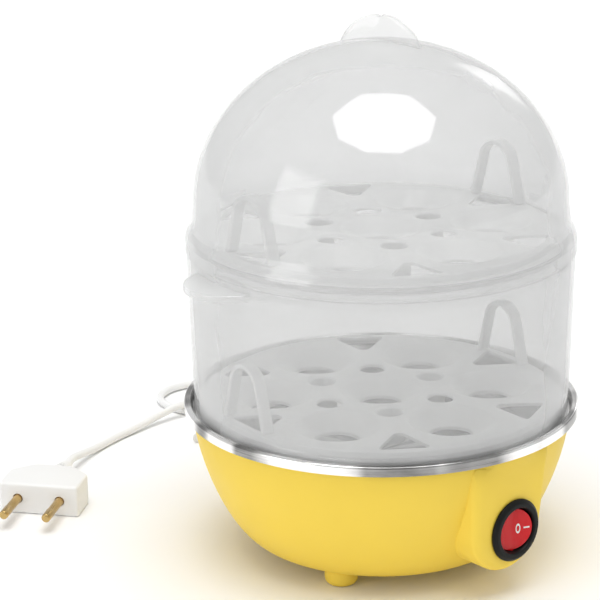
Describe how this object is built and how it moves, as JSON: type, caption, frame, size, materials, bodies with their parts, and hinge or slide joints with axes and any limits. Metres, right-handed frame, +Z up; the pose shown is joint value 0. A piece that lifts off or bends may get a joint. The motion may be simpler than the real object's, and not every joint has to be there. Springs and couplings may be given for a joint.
{
  "type": "egg cooker",
  "caption": "Two-tier electric egg cooker: round base with a heated steel dish, stacked egg trays in a clear drum, a domed lid, a rocker switch and a mains lead.",
  "frame": {"origin": "on the table under the middle of the base, without its mains lead", "axes": "+Z up, -Y to the front, +X to the right as seen from the front"},
  "size_m": [0.2432, 0.2667, 0.2198],
  "materials": {
    "yellow_plastic": "satin moulded",
    "brushed_steel": "circular brushed",
    "clear_plastic": "clear, slightly cloudy",
    "milky_plastic": "milky translucent",
    "black_plastic": "satin",
    "red_plastic": "translucent gloss",
    "white_plastic": "smooth",
    "tie_plastic": "soft",
    "heater_aluminium": "cast",
    "inner_steel": "plated",
    "contact_brass": "stamped",
    "dark_plastic": "moulded",
    "fibreglass": "woven sleeve",
    "lamp_glass": "clear",
    "wire_brown": "insulation",
    "wire_blue": "insulation"
  },
  "bodies": {
    "base": {"base_housing": "yellow_plastic", "heating_dish": "brushed_steel", "heat_plate": "heater_aluminium", "heating_element": "inner_steel", "mounting_spider": "inner_steel", "spider_nut": "inner_steel", "housing_screw_1": "inner_steel", "housing_screw_2": "inner_steel", "housing_screw_3": "inner_steel", "thermostat_body": "dark_plastic", "thermostat_blade_left": "contact_brass", "thermostat_blade_right": "contact_brass", "thermostat_bracket": "inner_steel", "thermal_fuse": "inner_steel", "fuse_sleeve": "fibreglass", "fuse_clip": "inner_steel", "switch_body": "black_plastic", "terminal_common": "contact_brass", "terminal_load": "contact_brass", "terminal_lamp": "contact_brass", "neon_lamp": "lamp_glass", "cord_bush": "white_plastic", "inner_lead": "white_plastic", "cord_clamp": "white_plastic", "clamp_screw_left": "inner_steel", "clamp_screw_right": "inner_steel", "live_wire": "wire_brown", "switched_wire": "wire_brown", "fuse_wire": "fibreglass", "element_wire": "fibreglass", "neutral_wire": "wire_blue", "lamp_wire": "wire_blue", "cord_to_coil": "white_plastic", "cord_to_plug": "white_plastic", "cord_coil": "white_plastic", "cord_tie": "tie_plastic", "plug_body": "white_plastic", "plug_pin_left": "contact_brass", "plug_pin_right": "contact_brass"},
    "rocker": {"switch_rocker": "red_plastic", "rocker_plunger": "contact_brass"},
    "contact_lever": {"contact_lever": "contact_brass"},
    "lower_tray": {"lower_tray": "milky_plastic", "lower_tray_handle_left": "milky_plastic", "lower_tray_handle_right": "milky_plastic"},
    "drum": {"steam_drum": "clear_plastic"},
    "upper_tray": {"upper_tray": "milky_plastic", "upper_tray_handle_left": "milky_plastic", "upper_tray_handle_right": "milky_plastic"},
    "lid": {"dome_lid": "clear_plastic"}
  },
  "joints": [
    {"name": "rocker_tilt", "type": "hinge", "parent": "base", "child": "rocker", "pos_m": [0.0504, -0.05405, 0.0284], "axis": [0, 0, 1], "range_deg": [0, 24]},
    {"name": "contact_lever_tilt", "type": "hinge", "parent": "base", "child": "contact_lever", "pos_m": [0.04269, -0.04578, 0.0284], "axis": [0, 0, 1], "range_deg": [-12, 0]},
    {"name": "lower_tray_lift", "type": "slide", "parent": "base", "child": "lower_tray", "axis": [0, 0, 1], "range_m": [0, 0.03]},
    {"name": "drum_lift", "type": "slide", "parent": "base", "child": "drum", "axis": [0, 0, 1], "range_m": [0, 0.06]},
    {"name": "upper_tray_lift", "type": "slide", "parent": "drum", "child": "upper_tray", "axis": [0, 0, 1], "range_m": [0, 0.005]},
    {"name": "lid_lift", "type": "slide", "parent": "drum", "child": "lid", "axis": [0, 0, 1], "range_m": [0, 0.06]}
  ],
  "couplings": [
    {"joint": "contact_lever_tilt", "follows": "rocker_tilt", "ratio": -0.5}
  ]
}
